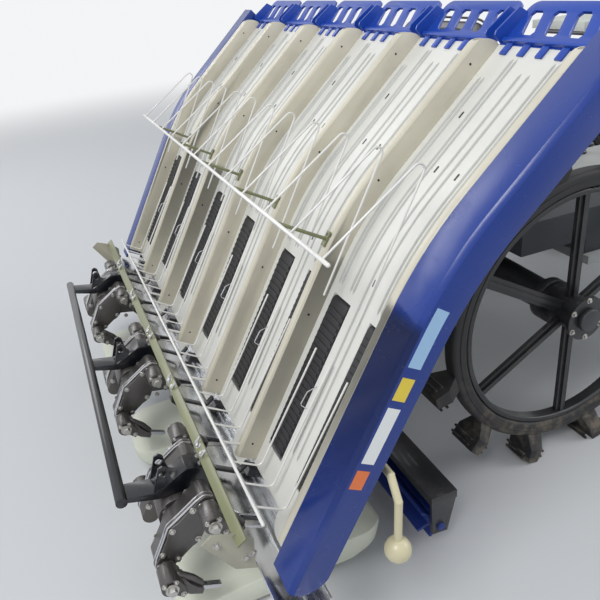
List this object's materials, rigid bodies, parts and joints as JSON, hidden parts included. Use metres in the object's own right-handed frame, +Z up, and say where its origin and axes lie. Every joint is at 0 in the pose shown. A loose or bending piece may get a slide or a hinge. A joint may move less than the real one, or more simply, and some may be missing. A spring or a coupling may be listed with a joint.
{
  "type": "rice transplanter",
  "caption": "Riding rice transplanter with a four-wheel carrier, a lifting planting unit, a sloping seedling table, planting rotors, floats and a leveling rotor.",
  "frame": {"origin": "on the ground below the middle of the machine, with length, width and height taken over all", "axes": "+X forward along the machine, +Y to its left, +Z up"},
  "size_m": [3.0364, 2.0536, 1.2562],
  "materials": {
    "frame_black": "satin",
    "engine_grey": "rough",
    "case_black": "satin",
    "deck_grey": "textured",
    "cowl_dark": "textured",
    "seat_cover": "satin",
    "lever_black": "satin",
    "tray_grey": "satin",
    "marker_metal": "satin",
    "bonnet_white": "gloss",
    "lamp_clear": "gloss",
    "wheel_steel": "satin",
    "wheel_rubber": "matte",
    "rod_chrome": "polished",
    "casting_grey": "cast",
    "rail_steel": "polished",
    "guard_black": "satin",
    "float_cream": "satin",
    "rod_cream": "satin",
    "rotor_blue": "satin",
    "floor_white": "satin",
    "divider_cream": "satin",
    "cover_blue": "satin",
    "grid_blue": "satin",
    "belt_black": "ribbed",
    "wire_white": "satin",
    "holder_olive": "satin",
    "plate_beige": "satin"
  },
  "bodies": {
    "chassis": {"chassis_frame": "frame_black", "engine_block": "engine_grey", "gearcase": "case_black", "rear_axle": "case_black", "step_deck": "deck_grey", "seat_cowl": "cowl_dark", "seat": "seat_cover", "dash_console": "cowl_dark", "control_levers": "lever_black", "nose_cowl": "cowl_dark", "rack_frames": "frame_black", "seedling_trays": "tray_grey", "centre_marker": "marker_metal"},
    "hood": {"bonnet": "bonnet_white", "headlamp": "lamp_clear"},
    "steering": {"steering_wheel": "lever_black"},
    "knuckle_l": {"knuckle_left": "case_black"},
    "knuckle_r": {"knuckle_right": "case_black"},
    "front_wheel_l": {"front_rim_left": "wheel_steel", "front_tyre_left": "wheel_rubber"},
    "front_wheel_r": {"front_rim_right": "wheel_steel", "front_tyre_right": "wheel_rubber"},
    "rear_wheel_l": {"rear_rim_left": "wheel_steel", "rear_tyre_left": "wheel_rubber"},
    "rear_wheel_r": {"rear_rim_right": "wheel_steel", "rear_tyre_right": "wheel_rubber"},
    "lift_links": {"lower_links": "frame_black"},
    "upper_link": {"top_link": "frame_black"},
    "shaft": {"drive_shaft": "case_black"},
    "cylinder": {"lift_cylinder": "case_black"},
    "rod": {"lift_rod": "rod_chrome"},
    "planter": {"planter_frame": "frame_black", "planting_cases": "casting_grey", "seedling_rail": "rail_steel", "rear_guard": "guard_black", "floats": "float_cream", "float_hangers": "frame_black", "side_rods": "rod_cream", "leveling_frame": "frame_black", "take_out_guides": "guard_black", "stop_bar": "holder_olive", "stop_arms": "guard_black", "end_plates": "plate_beige"},
    "leveler": {"leveling_rotor": "rotor_blue"},
    "table": {"table_floor": "floor_white", "row_dividers": "divider_cream", "side_covers": "cover_blue", "extension_grids": "grid_blue", "feed_belts": "belt_black", "table_frame": "frame_black", "mat_holder": "wire_white", "lower_holder": "wire_white", "holder_stays": "holder_olive"},
    "rotors": {"planting_rotors": "casting_grey"},
    "arms_upper": {"upper_arms": "casting_grey"},
    "arms_lower": {"lower_arms": "casting_grey"}
  },
  "joints": [
    {"name": "rear_left_spin", "type": "hinge", "parent": "chassis", "child": "rear_wheel_l", "pos_m": [-0.25, 0.6, 0.46283], "axis": [0, 1, 0], "continuous": true},
    {"name": "rear_right_spin", "type": "hinge", "parent": "chassis", "child": "rear_wheel_r", "pos_m": [-0.25, -0.6, 0.46283], "axis": [0, 1, 0], "continuous": true},
    {"name": "steer_left", "type": "hinge", "parent": "chassis", "child": "knuckle_l", "pos_m": [0.85, 0.48, 0.31667], "axis": [0, 0, 1], "range_deg": [-40, 40]},
    {"name": "steer_right", "type": "hinge", "parent": "chassis", "child": "knuckle_r", "pos_m": [0.85, -0.48, 0.31667], "axis": [0, 0, 1], "range_deg": [-40, 40]},
    {"name": "front_left_spin", "type": "hinge", "parent": "knuckle_l", "child": "front_wheel_l", "pos_m": [0.85, 0.6, 0.31667], "axis": [0, 1, 0], "continuous": true},
    {"name": "front_right_spin", "type": "hinge", "parent": "knuckle_r", "child": "front_wheel_r", "pos_m": [0.85, -0.6, 0.31667], "axis": [0, 1, 0], "continuous": true},
    {"name": "steering_turn", "type": "hinge", "parent": "chassis", "child": "steering", "pos_m": [0.6, 0, 1.12], "axis": [-0.5299, 0, 0.848], "range_deg": [-360, 360]},
    {"name": "hood_tilt", "type": "hinge", "parent": "chassis", "child": "hood", "pos_m": [0.884, 0, 1.01], "axis": [0, -1, 0], "range_deg": [0, 50]},
    {"name": "lift", "type": "hinge", "parent": "chassis", "child": "lift_links", "pos_m": [-0.43, 0, 0.53], "axis": [0, 1, 0], "range_deg": [0, 50]},
    {"name": "lift_top", "type": "hinge", "parent": "chassis", "child": "upper_link", "pos_m": [-0.43, 0, 0.75], "axis": [0, 1, 0], "range_deg": [0, 50]},
    {"name": "shaft_swing", "type": "hinge", "parent": "chassis", "child": "shaft", "pos_m": [-0.365, -0.082, 0.555], "axis": [0, 1, 0], "range_deg": [0, 50]},
    {"name": "cylinder_swing", "type": "hinge", "parent": "chassis", "child": "cylinder", "pos_m": [-0.4, 0, 0.3], "axis": [0, 1, 0], "range_deg": [0, 32.76]},
    {"name": "rod_slide", "type": "slide", "parent": "cylinder", "child": "rod", "axis": [-0.9851, 0, 0.172], "range_m": [0, 0.165]},
    {"name": "planter_level", "type": "hinge", "parent": "lift_links", "child": "planter", "pos_m": [-0.92, 0, 0.3], "axis": [0, 1, 0], "range_deg": [-50, 0]},
    {"name": "leveler_spin", "type": "hinge", "parent": "planter", "child": "leveler", "pos_m": [-0.785, 0, 0.078], "axis": [0, 1, 0], "continuous": true},
    {"name": "table_traverse", "type": "slide", "parent": "planter", "child": "table", "axis": [0, 1, 0], "range_m": [-0.125, 0.125]},
    {"name": "rotor_spin", "type": "hinge", "parent": "planter", "child": "rotors", "pos_m": [-1.395, 0, 0.29], "axis": [0, 1, 0], "continuous": true},
    {"name": "upper_arm_turn", "type": "hinge", "parent": "rotors", "child": "arms_upper", "pos_m": [-1.33812, 0, 0.35317], "axis": [0, 1, 0], "continuous": true},
    {"name": "lower_arm_turn", "type": "hinge", "parent": "rotors", "child": "arms_lower", "pos_m": [-1.45188, 0, 0.22683], "axis": [0, 1, 0], "continuous": true}
  ],
  "couplings": [
    {"joint": "steer_right", "follows": "steer_left", "ratio": 1},
    {"joint": "steering_turn", "follows": "steer_left", "ratio": 9},
    {"joint": "lift_top", "follows": "lift", "ratio": 1},
    {"joint": "shaft_swing", "follows": "lift", "ratio": 1},
    {"joint": "planter_level", "follows": "lift", "ratio": -1},
    {"joint": "cylinder_swing", "follows": "lift", "ratio": 0.65495},
    {"joint": "rod_slide", "follows": "lift", "m_per_rad": 0.18902},
    {"joint": "upper_arm_turn", "follows": "rotor_spin", "ratio": -1},
    {"joint": "lower_arm_turn", "follows": "rotor_spin", "ratio": -1}
  ]
}
